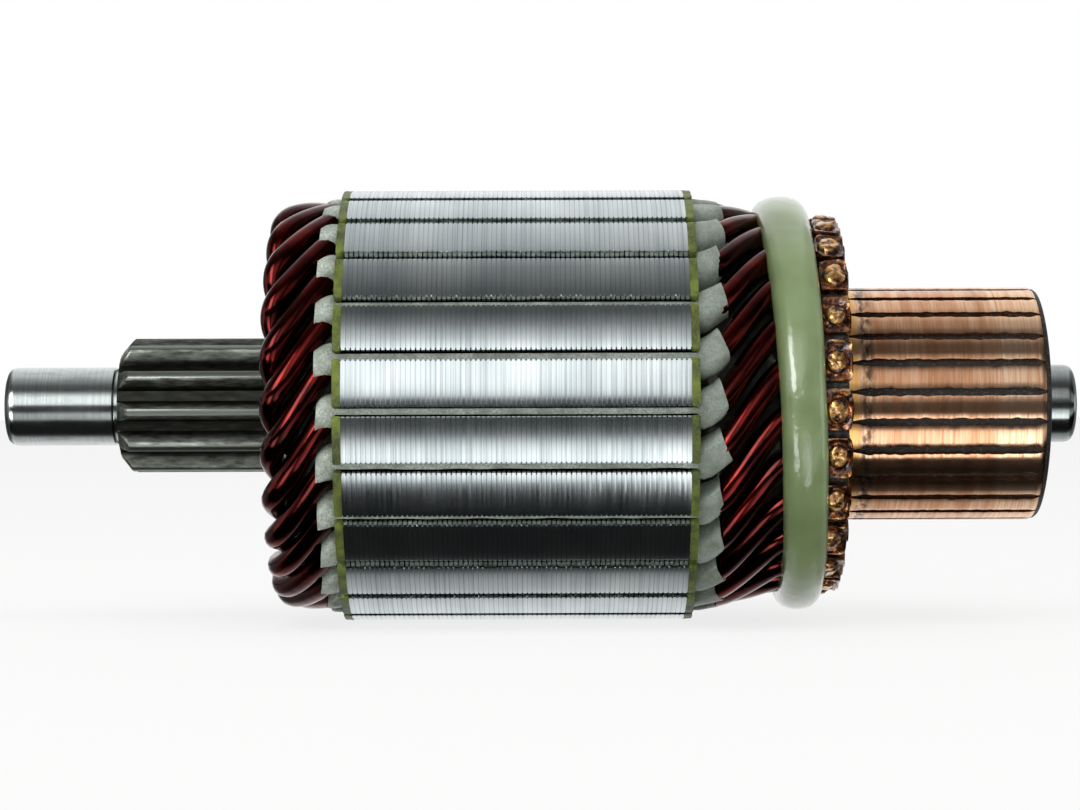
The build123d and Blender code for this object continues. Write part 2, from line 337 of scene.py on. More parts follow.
def make_wire_enamel():
    """Copper wire under thick red-brown enamel: almost black, with a red glint of copper in a clear gloss."""
    material, tree, shader, spot = new_material("red_brown_enamel", Metallic=1.0, Coat_Weight=0.15,
                                                Coat_Roughness=0.03, Coat_IOR=1.5)
    shade = grain(tree, spot, (5, 5, 5), 2.0)
    tone = add(tree, "ValToRGB", stops=[(0.3, "#2e0704"), (0.5, "#450b08"), (0.72, "#66130d")],
               Fac=shade).outputs[0]
    gloss = add(tree, "MapRange", Value=shade, From_Min=0.3, From_Max=0.7,
                To_Min=0.09, To_Max=0.14).outputs[0]
    ripple = grain(tree, spot, (1.8, 1.8, 1.8), 1.0)
    bump = add(tree, "Bump", Height=ripple, Distance=0.03 * MM).outputs[0]
    feed(tree, shader, Base_Color=tone, Roughness=gloss, Normal=bump, Coat_Normal=bump)
    return material


def make_cut_copper():
    """Sawn ends of the copper conductors, bare and a little tarnished."""
    material, tree, shader, spot = new_material("sawn_copper_end", Metallic=1.0, Roughness=0.38)
    marks = grain(tree, spot, (0.3, 0.3, 2.0))
    tone = add(tree, "ValToRGB", stops=[(0.3, "#8c5636"), (0.7, "#cf9469")], Fac=marks).outputs[0]
    bump = add(tree, "Bump", Height=marks, Distance=0.04 * MM).outputs[0]
    feed(tree, shader, Base_Color=tone, Normal=bump)
    return material


def make_turned_copper():
    """Commutator copper with a turned brush track: fine rings, brown brush film, and a gold varnish edge."""
    material, tree, shader, spot = new_material("turned_copper", Metallic=1.0)
    along = add(tree, "SeparateXYZ", Vector=spot).outputs["X"]
    # Tool marks, drawn about three times as wide as the real feed so that they show
    rings = grain(tree, spot, (0.35, 12, 12), 4.0, 0.65)
    film = grain(tree, spot, (1.6, 14, 14))
    fresh = add(tree, "ValToRGB", stops=[(0.3, "#d69c74"), (0.5, "#f2c7a2"), (0.72, "#fbe2c8")],
                Fac=rings).outputs[0]
    # The brushes' brown film lies on the track from near the risers to short of its outer end
    worn_from = add(tree, "MapRange", Value=along, From_Min=(RISER_FACE + 1.5) * MM,
                    From_Max=(RISER_FACE + 4.5) * MM).outputs[0]
    worn_to = add(tree, "MapRange", Value=along, From_Min=(TRACK_END - 7.2) * MM,
                  From_Max=(TRACK_END - 5.6) * MM, To_Min=1.0, To_Max=0.25).outputs[0]
    worn = add(tree, "Math", {"operation": "MULTIPLY"}, i0=worn_from, i1=worn_to).outputs[0]
    brown = add(tree, "MapRange", Value=film, From_Min=0.3, From_Max=0.65,
                To_Min=0.25, To_Max=0.75).outputs[0]
    worn = add(tree, "Math", {"operation": "MULTIPLY"}, i0=worn, i1=brown).outputs[0]
    tone = add(tree, "Mix", {"data_type": "RGBA"}, i0=worn, i6=fresh, i7=linear("#b57850")).outputs[2]
    # Soot lies where the brushes' edge ran
    soot = grain(tree, spot, (0.8, 1.6, 1.6), 4.0)
    soot = add(tree, "MapRange", Value=soot, From_Min=0.38, From_Max=0.6, To_Min=0.0, To_Max=0.85).outputs[0]
    near = add(tree, "Math", {"operation": "SUBTRACT"}, i0=along, i1=(RISER_FACE + 3) * MM).outputs[0]
    near = add(tree, "Math", {"operation": "ABSOLUTE"}, i0=near).outputs[0]
    near = add(tree, "MapRange", Value=near, From_Min=0.4 * MM, From_Max=1.4 * MM,
               To_Min=1.0, To_Max=0.0).outputs[0]
    smut = add(tree, "Math", {"operation": "MULTIPLY"}, i0=soot, i1=near).outputs[0]
    tone = add(tree, "Mix", {"data_type": "RGBA"}, i0=smut, i6=tone, i7=linear("#3a2a20")).outputs[2]
    varnished = add(tree, "MapRange", Value=along, From_Min=(RISER_FACE + 1.6) * MM,
                    From_Max=(RISER_FACE + 2.3) * MM, To_Min=0.85, To_Max=0.0).outputs[0]
    tone = add(tree, "Mix", {"data_type": "RGBA"}, i0=varnished, i6=tone, i7=linear("#d9a35c")).outputs[2]
    gloss = add(tree, "MapRange", Value=rings, From_Min=0.3, From_Max=0.7,
                To_Min=0.24, To_Max=0.15).outputs[0]
    bump = add(tree, "Bump", Height=rings, Distance=0.006 * MM).outputs[0]
    feed(tree, shader, Base_Color=tone, Roughness=gloss, Normal=bump)
    return material


def make_riser_copper():
    """Fused riser copper under dark baked varnish, with a bare golden bead where each weld stands up."""
    material, tree, shader, spot = new_material("varnished_weld_copper", Metallic=0.9, Coat_Weight=1.0,
                                                Coat_Roughness=0.06)
    radius = from_axis(tree, spot)
    burn = grain(tree, spot, (0.9, 0.9, 0.9), 5.0)
    dark = add(tree, "ValToRGB", stops=[(0.36, "#180b04"), (0.5, "#5c2d10"), (0.64, "#b66c30")],
               Fac=burn).outputs[0]
    gold = add(tree, "ValToRGB", stops=[(0.35, "#a96a32"), (0.6, "#edb970")], Fac=burn).outputs[0]
    bead = add(tree, "MapRange", Value=radius, From_Min=(RISER_RADIUS + 0.08) * MM,
               From_Max=(RISER_RADIUS + 0.28) * MM).outputs[0]
    bare = add(tree, "MapRange", Value=burn, From_Min=0.38, From_Max=0.5).outputs[0]
    bead = add(tree, "Math", {"operation": "MULTIPLY"}, i0=bead, i1=bare).outputs[0]
    tone = add(tree, "Mix", {"data_type": "RGBA"}, i0=bead, i6=dark, i7=gold).outputs[2]
    gloss = add(tree, "MapRange", Value=burn, From_Min=0.3, From_Max=0.7, To_Min=0.4, To_Max=0.22).outputs[0]
    bump = add(tree, "Bump", Height=burn, Distance=0.12 * MM).outputs[0]
    feed(tree, shader, Base_Color=tone, Roughness=gloss, Normal=bump, Coat_Normal=bump)
    return material


def make_moulding_resin():
    """Moulded phenolic resin: near-black brown, with pale filler specks where it was cut back."""
    material, tree, shader, spot = new_material("phenolic_resin", Roughness=0.5, IOR=1.55)
    filler = grain(tree, spot, (0.5, 0.25, 0.25), 4.0, 0.7)
    tone = add(tree, "ValToRGB", stops=[(0.42, "#0c0a08"), (0.56, "#1c1815"), (0.7, "#6a6357")],
               Fac=filler).outputs[0]
    bump = add(tree, "Bump", Height=filler, Distance=0.1 * MM).outputs[0]
    feed(tree, shader, Base_Color=tone, Normal=bump)
    return material


def make_band_resin():
    """Banding of glass tape under pale green resin: milky, smooth and glossy, with some light inside it."""
    material, tree, shader, spot = new_material(
        "green_band_resin", Roughness=0.35, IOR=1.52, Subsurface_Weight=0.35, Subsurface_Scale=0.0015,
        Subsurface_Radius=(0.7, 1.0, 0.5), Coat_Weight=1.0, Coat_Roughness=0.03, Coat_IOR=1.6)
    cloud = grain(tree, spot, (9, 9, 9), 2.0)
    tone = add(tree, "ValToRGB", stops=[(0.3, "#75875a"), (0.5, "#819565"), (0.7, "#8ea273")],
               Fac=cloud).outputs[0]
    # Runs and dimples of the cured resin break up the gloss
    dimples = grain(tree, spot, (1.6, 2.6, 2.6), 2.0)
    bump = add(tree, "Bump", Height=dimples, Distance=0.14 * MM).outputs[0]
    feed(tree, shader, Base_Color=tone, Coat_Normal=bump)
    return material


def make_soaking_varnish():
    """Baked soaking varnish that pools between the wires: near-black, olive where it lies thin, wet gloss."""
    material, tree, shader, spot = new_material("soaking_varnish", Roughness=0.5, IOR=1.2, Coat_Weight=0.35,
                                                Coat_Roughness=0.03, Coat_IOR=1.5)
    pool = grain(tree, spot, (2.2, 2.2, 2.2), 4.0)
    tone = add(tree, "ValToRGB", stops=[(0.35, "#050403"), (0.6, "#110d07"), (0.8, "#2b260f")],
               Fac=pool).outputs[0]
    wave = grain(tree, spot, (1.6, 1.6, 1.6), 1.0)
    bump = add(tree, "Bump", Height=wave, Distance=0.1 * MM).outputs[0]
    feed(tree, shader, Base_Color=tone, Normal=bump, Coat_Normal=bump)
    return material


sheet_steel = make_sheet_steel()
ground_steel = make_ground_steel()
hobbed_steel = make_hobbed_steel()
insulating_card = make_insulating_card()
slot_paper = make_slot_paper()
wire_enamel = make_wire_enamel()
cut_copper = make_cut_copper()
turned_copper = make_turned_copper()
riser_copper = make_riser_copper()
moulding_resin = make_moulding_resin()
band_resin = make_band_resin()
soaking_varnish = make_soaking_varnish()


# Shaft

def make_turned_shaft():
    """Journals with rounded ends and centre holes, the relief, the collar and the press seat."""
    left, right = SHAFT_START, SHAFT_END
    seat_start, seat_end = CORE_START - DISC, TRACK_END - 0.7
    bm = bmesh.new()
    turn_profile(bm, [
        # Centre hole and rounded end of the drive-end journal, which runs to its relief
        (left + 1.4, 0), (left + 1.2, 0.55), (left + 0.1, 1.15), (left, 1.25),
        (left, DRIVE_JOURNAL - 0.92), (left + 0.15, DRIVE_JOURNAL - 0.52), (left + 0.5, DRIVE_JOURNAL - 0.22),
        (left + 1.0, DRIVE_JOURNAL - 0.04), (left + 1.4, DRIVE_JOURNAL), (left + 1.7, DRIVE_JOURNAL),
        (PINION_START - 1.3, DRIVE_JOURNAL), (PINION_START - 1.05, DRIVE_JOURNAL),
        (PINION_START - 0.8, DRIVE_JOURNAL - 0.17), (PINION_START - 0.78, RELIEF), (PINION_START, RELIEF),
        # Blank under the teeth, whose far end runs out into the collar, and the press seat
        (PINION_START + 0.2, 7.0), (PINION_END - 1.3, 7.0), (PINION_END - 0.5, 7.6),
        (PINION_END + 0.3, COLLAR), (seat_start, COLLAR), (seat_start, SEAT), (seat_end, SEAT),
        # Commutator-end journal, its rounded end and its centre hole
        (seat_end + 0.1, COMMUTATOR_JOURNAL), (right - 1.5, COMMUTATOR_JOURNAL),
        (right - 1.2, COMMUTATOR_JOURNAL), (right - 0.7, COMMUTATOR_JOURNAL - 0.08),
        (right - 0.3, COMMUTATOR_JOURNAL - 0.33), (right - 0.05, COMMUTATOR_JOURNAL - 0.73),
        (right, COMMUTATOR_JOURNAL - 1.23),
        (right, 1.25), (right - 0.1, 1.15), (right - 1.2, 0.55), (right - 1.4, 0),
    ], 96)
    finish_piece("shaft_turned", bm, ["shaft"], [ground_steel], sharp=28)


def make_sun_pinion():
    """Hobbed teeth with involute flanks and round roots, chamfered at the front and eased at the tips."""
    first_tooth, base, land, chamfer = 5.4, 7.45, 1.0, 1.7
    tip, root = PINION_TIP, PINION_ROOT

    def involute(radius):
        pressure = math.acos(min(1.0, base / radius))
        return math.tan(pressure) - pressure

    def half_angle(radius):
        return math.degrees(land / (2 * tip) + involute(tip) - involute(radius))

    half = [(root, half_angle(base) + 2.4), (root + 0.03, half_angle(base) + 0.9)]
    half += [(radius, half_angle(radius)) for radius in (base + 0.15, 7.85, 8.2, 8.6, 9.0, 9.3)]
    half += [(tip - 0.03, half_angle(tip - 0.03) - 0.4)]
    outline = []
    for tooth in range(PINION_TEETH):
        middle = first_tooth + tooth * 360 / PINION_TEETH
        outline += [(radius, middle - angle) for radius, angle in half]
        outline += [(tip, middle + step) for step in (-1.5, 0, 1.5)]
        outline += [(radius, middle + angle) for radius, angle in reversed(half)]
    slope = (tip - root) / chamfer
    cuts = (0.0, 0.3, 0.7, 1.1, 1.4, chamfer, PINION_END - PINION_START)
    bm = bmesh.new()
    sweep(bm, outline, cuts, lambda corner, cut: place(
        PINION_START + cut, min(corner[0], root + 0.1 + slope * cut), corner[1]))
    finish_piece("sun_pinion", bm, ["shaft"], [hobbed_steel], sharp=40)


# Core

def slotted_outline(slot_half, mouth_half, lip_radius, floor_radius, rim_radius, rim_shares):
    """Outline of a slotted disc as (radius, angle, sink, slide), the last two to round its edges with."""
    # The rim hardly sinks at a joint, so that the joints don't tilt what it reflects
    rim_sink, beside_mouth = 0.003, 0.5
    outline = []
    for number in range(SLOTS):
        middle = slot_angle(number)
        side = [
            (rim_radius - 0.03, mouth_half, 0.2, 0.2), (lip_radius, mouth_half, 0.0, 0.12),
            (lip_radius, slot_half, 0.0, 0.0), (floor_radius, slot_half, 0.0, 0.0),
        ]
        outline += [(r, middle - math.degrees(h / r), sink, -slide) for r, h, sink, slide in side]
        outline += [(r, middle + math.degrees(h / r), sink, slide) for r, h, sink, slide in reversed(side)]
        near = math.degrees(mouth_half / rim_radius) + beside_mouth
        outline += [(rim_radius, middle + near + share * (PITCH - 2 * near), rim_sink, 0.0)
                    for share in rim_shares]
    return outline


def on_disc(corner, x, sunk, proud=0.0):
    """Place of a slotted outline's corner, where its edge is sunk by a share and stands proud by a height."""
    radius, angle, sink, slide = corner
    height = radius - sink * sunk + (proud if sink else 0.0)
    return place(x, height, angle + math.degrees(slide * sunk / radius))


def make_sheets():
    """The punched sheets, each with rounded edges that open into a notch at the slot lips."""
    joint = 0.16 * SHEET
    stations = []
    for sheet in range(SHEETS):
        start, deep, proud = CORE_START + sheet * SHEET, drawn.uniform(0.5, 1.5), roughly(0.002)
        stations += [(start, deep, 0.0), (start + joint, 0.0, proud), (start + SHEET - joint, 0.0, proud)]
    stations.append((CORE_END, 1.0, 0.0))
    outline = slotted_outline(SLOT_HALF, MOUTH_HALF, SLOT_ROOF, SLOT_FLOOR, CORE_RADIUS,
                              (0.0, 0.22, 0.5, 0.78, 1.0))
    bm = bmesh.new()
    sweep(bm, outline, stations, lambda corner, station: on_disc(corner, *station))
    finish_piece("lamination_sheets", bm, ["lamination_stack"], [sheet_steel], sharp=30)


def make_insulator(node, start):
    """Punched card disc with a rough rim, as far out as the sheets in places and short of them in others."""
    rounding, rim_steps = 0.15, 9
    outline = slotted_outline(SLOT_HALF + 0.3, MOUTH_HALF - 0.07, SLOT_ROOF - 0.05, SLOT_FLOOR - 0.3,
                              CORE_RADIUS - 0.02, [step / rim_steps for step in range(rim_steps + 1)])

    def where(corner, station):
        x, sunk = station
        spot = on_disc(corner, x, sunk)
        rough = wander(spot, 1.3, start) * 0.12 + wander(spot, 0.4, start) * 0.06
        outwards = Vector((0, spot.y, spot.z))
        if outwards.length > (CORE_RADIUS - 1.5) * MM:
            spot += outwards.normalized() * rough * MM
        return spot + Vector((rough * 0.3 * MM, 0, 0))

    bm = bmesh.new()
    sweep(bm, outline, [
        (start, 0.9), (start + rounding, 0.0), (start + DISC - rounding, 0.0), (start + DISC, 0.9),
    ], where)
    finish_piece(node + "_card", bm, [node], [insulating_card], sharp=50)


def add_cuff(bm, middle, stations, slant, seed):
    """Paper tube round a slot's conductors, through stations of (place, lean, half width, top, floor)."""
    steps = 28

    def where(turn, station):
        x, lean, half_width, top, floor = station
        aside = half_width * math.copysign(abs(math.cos(turn)) ** 0.55, math.cos(turn))
        rise = math.copysign(abs(math.sin(turn)) ** 0.5, math.sin(turn))
        radius = (top + floor) / 2 + (top - floor) / 2 * rise
        reach = x - stations[0][0]
        spot = place(x + slant * aside * reach, radius, middle + lean + math.degrees(aside / radius))
        crumple = wander(spot, 2.2, seed) * 0.18 + wander(spot, 0.8, seed) * 0.05
        outwards = Vector((0, spot.y, spot.z)).normalized()
        return spot + (outwards * crumple + Vector((0.4 * crumple * min(1.0, abs(reach)), 0, 0))) * MM

    sweep(bm, [math.tau * step / steps for step in range(steps)], stations, where, caps=False)


def make_papers():
    """Slot papers: at each end a folded tube round the conductors, and a strip along each slot's mouth."""
    thickness, strip_steps = 0.22, 36
    bm = bmesh.new()
    for number in range(SLOTS):
        middle, seed = slot_angle(number), 3.1 + number
        long = roughly(0.25)
        add_cuff(bm, middle, [
            (CORE_START - DISC + 0.3, 0.0, 2.2, 28.7, SLOT_FLOOR),
            (39.3, 0.1, 2.4, 28.85, SLOT_FLOOR),
            (38.6, 0.5, 2.42, 28.9, 21.2),
            (37.9, 1.1, 2.35, 28.85, 21.2),
            (37.25 - long, 1.9, 2.2, 28.7, 21.2),
        ], 0.03 + roughly(0.03), seed)
        long = roughly(0.3)
        add_cuff(bm, middle, [
            (CORE_END + DISC - 0.3, 0.0, 2.3, 28.7, SLOT_FLOOR),
            (88.1, -0.2, 2.65, 28.85, SLOT_FLOOR),
            (89.0, -1.0, 2.65, 28.75, 21.2),
            (90.0, -2.5, 2.45, 28.6, 21.2),
            (91.0 + long, -4.6, 2.2, 28.4, 21.2),
        ], 0.09 + roughly(0.03), seed + 40)
    bmesh.ops.recalc_face_normals(bm, faces=bm.faces)
    bmesh.ops.solidify(bm, geom=bm.faces[:], thickness=thickness * MM)

    strip = [(28.5, -0.44), (28.85, -0.39), (28.92, 0.0), (28.85, 0.39), (28.5, 0.44)]
    start, end = CORE_START - 0.9, CORE_END + 0.9
    stations = [start + step * (end - start) / strip_steps for step in range(strip_steps + 1)]
    for number in range(SLOTS):
        def where(corner, x, middle=slot_angle(number), seed=80.0 + number):
            radius, aside = corner
            sway = wander(place(x, radius, middle), 3.0, seed)
            return place(x, radius + 0.14 * sway, middle + math.degrees((aside + 0.06 * sway) / radius))
        sweep(bm, strip, stations, where)
    finish_piece("slot_papers", bm, ["slot_liners"], [slot_paper], sharp=60)


# Winding

def hairpin_points(number):
    """Points that steer the smooth line of a hairpin, from its upper riser end to its lower riser end."""
    sway = roughly(0.25)
    # Place and radius in each layer, and the angle from the slot, first at the commutator's end
    to_riser = [
        (108.1, 24.0, 20.5, 28.8), (106.5, 24.0, 20.5, 28.8), (104.6, 24.0, 20.5, 28.8),
        (102.6, 24.1, 20.55, 28.75), (100.6, 24.5, 20.8, 28.3 + sway), (98.9, 24.85, 21.1, 26.6 + sway),
        (97.2, 25.25, 21.5, 22.6 + sway), (95.2, 25.75, 22.0, 16.5 + sway), (93.2, 26.3, 22.6, 10.1 + sway),
        (91.6, 26.7, 23.0, 5.0), (90.4, 26.85, 23.15, 1.9), (89.2, UPPER_LAYER, LOWER_LAYER, 0.3),
    ]
    straight = (CORE_END + 1.0, CORE_END - 2.6, CORE_START + 3.2)
    to_riser += [(x, UPPER_LAYER, LOWER_LAYER, 0.0) for x in straight]
    # From the slot to the crown, the legs lean at a steady rate before they turn over
    to_crown = [(x, UPPER_LAYER, LOWER_LAYER, turn) for x, turn in (
        (40.6, 0.0), (39.5, 0.0), (38.4, 2.4), (36.6, 8.5), (34.8, 14.6))]
    to_crown += [(33.4, 26.85, 23.25, 19.4), (32.2, 26.6, 23.5, 23.2), (31.5, 26.0, 24.1, 26.2)]
    upper, lower = slot_angle(number), slot_angle(number + COIL_SPAN)
    points = [place(x, high, upper - turn) for x, high, low, turn in to_riser]
    points += [place(x, high, upper + turn) for x, high, low, turn in to_crown]
    points.append(place(31.3, (UPPER_LAYER + LOWER_LAYER) / 2, (upper + lower) / 2))
    points += [place(x, low, lower - turn) for x, high, low, turn in reversed(to_crown)]
    points += [place(x, low, lower + turn) for x, high, low, turn in reversed(to_riser)]
    return points


def make_hairpin(number):
    """One round wire on a smooth line, enamelled all over but for its sawn ends."""
    name = f"hairpin_{number + 1:02d}"
    curve = bpy.data.curves.new(name + "_line", "CURVE")
    curve.dimensions = "3D"
    line = curve.splines.new("NURBS")
    points = hairpin_points(number)
    line.points.add(len(points) - 1)
    for point, spot in zip(line.points, points):
        point.co = (*spot, 1.0)
    line.order_u = 3
    line.use_endpoint_u = True
    line.resolution_u = 4
    curve.bevel_depth = WIRE_RADIUS * MM
    curve.bevel_resolution = 5
    curve.use_fill_caps = True
    holder = bpy.data.objects.new(name + "_holder", curve)
    mesh = bpy.data.meshes.new_from_object(holder)
    bpy.data.objects.remove(holder)
    bpy.data.curves.remove(curve)
    bm = bmesh.new()
    bm.from_mesh(mesh)
    bpy.data.meshes.remove(mesh)
    bmesh.ops.remove_doubles(bm, verts=bm.verts, dist=1e-7)
    for face in bm.faces:
        sawn = face.calc_center_median().x > (RISER_FACE + 0.05) * MM
        face.material_index = int(sawn)
    finish_piece(name + "_wire", bm, [name], [wire_enamel, cut_copper], sharp=50)


def make_winding_varnish():
    """Varnish baked in the gaps of the winding, at both ends of the core."""
    bm = bmesh.new()
    turn_profile(bm, [
        (87.9, 21.5), (87.9, 25.4), (89.5, 25.9), (92.0, 25.6), (96.0, 24.9), (100.0, 24.2), (104.1, 23.7),
        (104.1, 19.0), (96.0, 20.0), (87.9, 21.5),
    ], 150)
    turn_profile(bm, [
        (39.6, 24.2), (39.6, 25.9), (37.5, 26.3), (35.5, 26.2), (33.9, 25.8), (33.2, 25.05), (33.9, 24.3),
        (35.5, 24.0), (39.6, 24.2),
    ], 150)
    long_edges = [e for e in bm.edges if e.calc_length() > 2.0 * MM]
    bmesh.ops.subdivide_edges(bm, edges=long_edges, cuts=1, use_grid_fill=True)
    for corner in bm.verts:
        outwards = Vector((0, corner.co.y, corner.co.z)).normalized()
        corner.co += outwards * wander(corner.co, 2.6, 9.0) * 0.25 * MM
    finish_piece("winding_varnish", bm, [], [soaking_varnish], sharp=60)


def make_band():
    """Crowned resin band over the wires beside the risers, askew, and wider at the top than elsewhere."""
    middle, bore, lift, tilt = 101.5, 25.0, 0.15, -2.6
    bm = bmesh.new()
    turn_profile(bm, [
        (3.3, bore), (-3.3, bore), (-3.4, 26.3), (-3.32, 27.0), (-3.05, 27.7), (-2.5, 28.3), (-1.7, 28.7),
        (-0.85, 28.9), (0.0, 28.95), (0.85, 28.88), (1.7, 28.66), (2.4, 28.2), (2.9, 27.6), (3.2, 26.9),
        (3.3, 26.0), (3.3, bore),
    ], 160)
    for corner in bm.verts:
        outwards = Vector((0, corner.co.y, corner.co.z)).normalized()
        # Its width in shares: most at the top, and a little more behind than in front
        spread = 0.95 + 0.13 * max(0.0, outwards.z) - 0.02 * max(0.0, -outwards.z) + 0.04 * outwards.y
        wave = wander(corner.co, 9.0, 4.0) * 0.1 + wander(corner.co, 3.0, 4.5) * 0.03
        corner.co.x = corner.co.x * spread + wander(corner.co, 12.0, 6.0) * 0.15 * MM
        corner.co += outwards * wave * MM
    askew = Matrix.Translation((middle * MM, 0, lift * MM)) @ Matrix.Rotation(math.radians(tilt), 4, "Y")
    bmesh.ops.transform(bm, matrix=askew, verts=bm.verts)
    finish_piece("green_band", bm, ["banding_ring"], [band_resin], sharp=60)


# Commutator

def wedge_half(radius):
    """Half the width of a bar at a radius, between two sheets of mica."""
    half_pitch = math.radians(PITCH / 2)
    return radius * math.tan(half_pitch) - MICA / (2 * math.cos(half_pitch))


def add_track(bm, seed):
    """Turned face of a bar, with edges chipped where the mica was cut back, over straight walls."""
    overlap, floor, rounding = 0.5, 14.8, 0.06
    start, length = RISER_FACE - overlap, TRACK_END - RISER_FACE + overlap
    # The cutter for the mica ran in beside the riser and out at the track's end
    run_in, run_in_length, run_out, run_out_length = RISER_FACE + 1.3, 1.5, TRACK_END - 0.2, 0.8
    columns, rows = 72, 6
    half = wedge_half(TRACK_RADIUS)
    made = bmesh.ops.create_grid(bm, x_segments=columns, y_segments=rows, size=0.5)["verts"]
    for corner in made:
        along, across = corner.co.x + 0.5, corner.co.y * 2
        x = start + along * length
        edge = abs(across) > 0.99
        cutter = min(1.0, max(0.0, (x - run_in) / run_in_length))
        cutter *= min(1.0, max(0.0, (run_out - x) / run_out_length))
        # The bar's two edges have chips of their own
        spot = Vector((x, 40.0 * (across > 0), 0)) * MM
        chip = 0.02 + abs(wander(spot, 1.1, seed)) * 0.32 + abs(wander(spot, 4.0, seed)) * 0.1
        aside = across * half
        if edge:
            aside += across * (0.2 * (1 - cutter) - chip * cutter)
        radius = TRACK_RADIUS - (rounding if edge else 0.0) - (2 * rounding if along > 0.999 else 0.0)
        corner.co = Vector((x, aside, math.sqrt(radius ** 2 - aside ** 2))) * MM
    rim = [e for e in bm.edges if e.is_boundary and e.verts[0] in set(made)]
    grown = bmesh.ops.extrude_edge_only(bm, edges=rim)["geom"]
    for corner in (g for g in grown if isinstance(g, bmesh.types.BMVert)):
        corner.co.z = floor * MM
        corner.co.y *= wedge_half(floor) / half
    bm.faces.new(edge_ring([g for g in grown if isinstance(g, bmesh.types.BMEdge) and g.is_boundary]))


def add_riser(bm, seed):
    """Riser block with a rounded top, where the weld stands as a bead inside a melted moat."""
    middle, half_length = (RISER_BACK + RISER_FACE) / 2, (RISER_FACE - RISER_BACK) / 2
    # The block's outline is a rounded square, and it stays clear of its neighbours
    squareness, clearance, steps = 0.28, 0.12, 28
    outline = [math.tau * (step + 0.5) / steps for step in range(steps)]
    bead_x, bead_y = roughly(0.3) - 0.1, roughly(0.3)
    swell, lift = 1.08 + roughly(0.14), roughly(0.14)
    # Radius of the bead's rings, their height over the riser, and the share of the block in their outline
    rings = [
        (0.14, 0.5 + lift, 0.0), (0.5, 0.48 + lift, 0.0), (0.85, 0.38 + lift, 0.0),
        (1.12, 0.2 + lift / 2, 0.0), (1.26, -0.08, 0.0), (1.34, -0.26, 0.0), (1.5, -0.3, 0.1),
        (1.62, -0.12, 0.3), (1.72, 0.0, 0.7),
        (0, -0.03, 1.0), (0, -0.22, 1.03), (0, -0.8, 1.04), (0, -4.0, 1.04), (0, -9.8, 1.04),
    ]

    def where(turn, ring):
        size, height, square = ring
        radius = RISER_RADIUS + height
        round_x = size * swell * 1.02 * math.cos(turn) + bead_x
        round_y = size * swell * 1.2 * math.sin(turn) + bead_y
        half_width = wedge_half(min(radius, RISER_RADIUS))
        box_x = (half_length - clearance) * math.copysign(abs(math.cos(turn)) ** squareness, math.cos(turn))
        box_y = (half_width - clearance) * math.copysign(abs(math.sin(turn)) ** squareness, math.sin(turn))
        x = round_x * (1 - min(square, 1.0)) + box_x * square
        y = round_y * (1 - min(square, 1.0)) + box_y * square
        spot = Vector((middle + x, y, radius)) * MM
        melt = wander(spot, 1.1, seed) * 0.32 + wander(spot, 0.5, seed) * 0.16
        if height < -1.0:
            # The walls below kept more of their shape
            melt *= 0.3
        return spot + Vector((0.4 * melt, 0.4 * melt, melt)) * MM

    sweep(bm, outline, rings, where)


def make_bar(number):
    """Commutator bar with its brush track and its welded riser."""
    name = f"commutator_bar_{number + 1:02d}"
    bm = bmesh.new()
    add_track(bm, 7.7 + number)
    track_faces = set(bm.faces)
    add_riser(bm, 31.3 + number)
    for face in bm.faces:
        face.material_index = 0 if face in track_faces else 1
    bmesh.ops.transform(bm, matrix=onto_shaft(slot_angle(number)), verts=bm.verts)
    finish_piece(name + "_copper", bm, [name], [turned_copper, riser_copper], sharp=32)


def make_hub():
    """Moulded resin under and between the bars, with its closing ring and the filled gaps between risers."""
    bm = bmesh.new()
    back, outer, undercut = RISER_BACK + 0.3, TRACK_END, TRACK_RADIUS - 0.87
    turn_profile(bm, [
        (back, SEAT), (back, undercut), (outer - 0.1, undercut), (outer - 0.05, 15.85), (outer + 0.1, 16.05),
        (outer + 0.4, 16.05), (outer + 0.65, 15.85), (outer + 0.75, 15.5), (outer + 0.75, 10.2),
        (outer + 0.5, 9.8), (outer + 0.5, SEAT), (back, SEAT),
    ], 125)
    for number in range(SLOTS):
        middle = slot_angle(number) + PITCH / 2

        def where(corner, x, middle=middle, seed=110.0 + number):
            radius, aside = corner
            sag = wander(place(x, radius, middle), 1.2, seed) * 0.35 if radius > TRACK_RADIUS else 0.0
            return place(x, radius + sag, middle + math.degrees(aside / radius))
        sweep(bm, [(15.0, -0.7), (25.2, -0.62), (25.35, 0.0), (25.2, 0.62), (15.0, 0.7)],
              [104.35 + step * 0.4 for step in range(9)], where)
    finish_piece("moulded_hub", bm, ["commutator_hub"], [moulding_resin], sharp=50)


# Set: floor, light tent, lamps, world and camera

def seen_directly(tree):
    """Share that is 1 for camera, glossy and transmission rays, and 0 for the rest."""
    path = add(tree, "LightPath").outputs
    gloss = add(tree, "Math", {"operation": "MAXIMUM"}, i0=path["Is Glossy Ray"],
                i1=path["Is Transmission Ray"]).outputs[0]
    return add(tree, "Math", {"operation": "MAXIMUM"}, i0=path["Is Camera Ray"], i1=gloss).outputs[0]


def stand_on_set(name, bm, material):
    """Make a piece of the set, which is no part of the object."""
    mesh = bpy.data.meshes.new(name)
    bm.to_mesh(mesh)
    bm.free()
    mesh.materials.append(material)
    card = bpy.data.objects.new(name, mesh)
    bpy.context.scene.collection.objects.link(card)
    return card


